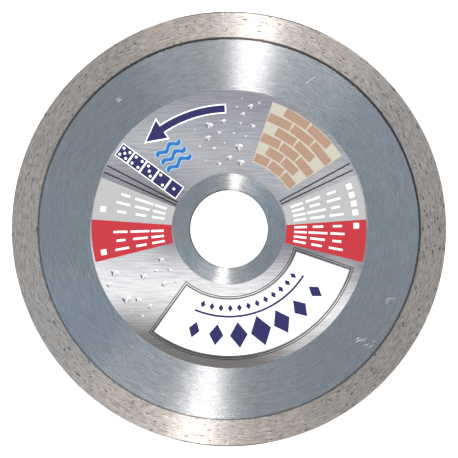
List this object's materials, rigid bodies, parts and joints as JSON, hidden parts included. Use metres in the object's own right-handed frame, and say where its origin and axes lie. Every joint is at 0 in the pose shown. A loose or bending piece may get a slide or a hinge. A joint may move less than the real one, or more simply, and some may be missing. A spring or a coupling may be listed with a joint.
{
  "type": "diamond cutting blade",
  "caption": "Continuous-rim diamond cutting disc for an angle grinder: a thin steel plate with a spindle bore, a keyed sintered rim holding diamond crystals, and a printed ring label.",
  "frame": {"origin": "on the bore's axis, in the plane of the rim's back face, on which the blade lies", "axes": "+Z is the spindle axis and points out of the labelled front; +Y is the top of the picture; +X is its right"},
  "size_m": [0.125, 0.125, 0.0022],
  "materials": {
    "ground_steel": "circular grind",
    "sintered_bond": "turned, pitted",
    "printed_film": "printed satin film",
    "saw_diamond": "crystal faces"
  },
  "bodies": {
    "root": {"steel_core": "ground_steel", "diamond_rim": "sintered_bond", "label": "printed_film", "diamond_grain_01": "saw_diamond", "diamond_grain_02": "saw_diamond", "diamond_grain_03": "saw_diamond", "diamond_grain_04": "saw_diamond", "diamond_grain_05": "saw_diamond", "diamond_grain_06": "saw_diamond", "diamond_grain_07": "saw_diamond", "diamond_grain_08": "saw_diamond", "diamond_grain_09": "saw_diamond", "diamond_grain_10": "saw_diamond", "diamond_grain_11": "saw_diamond", "diamond_grain_12": "saw_diamond", "diamond_grain_13": "saw_diamond", "diamond_grain_14": "saw_diamond", "diamond_grain_15": "saw_diamond", "diamond_grain_16": "saw_diamond", "diamond_grain_17": "saw_diamond", "diamond_grain_18": "saw_diamond", "diamond_grain_19": "saw_diamond", "diamond_grain_20": "saw_diamond", "diamond_grain_21": "saw_diamond", "diamond_grain_22": "saw_diamond", "diamond_grain_23": "saw_diamond", "diamond_grain_24": "saw_diamond", "diamond_grain_25": "saw_diamond", "diamond_grain_26": "saw_diamond", "diamond_grain_27": "saw_diamond", "diamond_grain_28": "saw_diamond", "diamond_grain_29": "saw_diamond", "diamond_grain_30": "saw_diamond", "diamond_grain_31": "saw_diamond", "diamond_grain_32": "saw_diamond", "diamond_grain_33": "saw_diamond", "diamond_grain_34": "saw_diamond", "diamond_grain_35": "saw_diamond", "diamond_grain_36": "saw_diamond", "diamond_grain_37": "saw_diamond", "diamond_grain_38": "saw_diamond", "diamond_grain_39": "saw_diamond", "diamond_grain_40": "saw_diamond", "diamond_grain_41": "saw_diamond", "diamond_grain_42": "saw_diamond", "diamond_grain_43": "saw_diamond", "diamond_grain_44": "saw_diamond", "diamond_grain_45": "saw_diamond", "diamond_grain_46": "saw_diamond", "diamond_grain_47": "saw_diamond", "diamond_grain_48": "saw_diamond"}
  },
  "joints": []
}
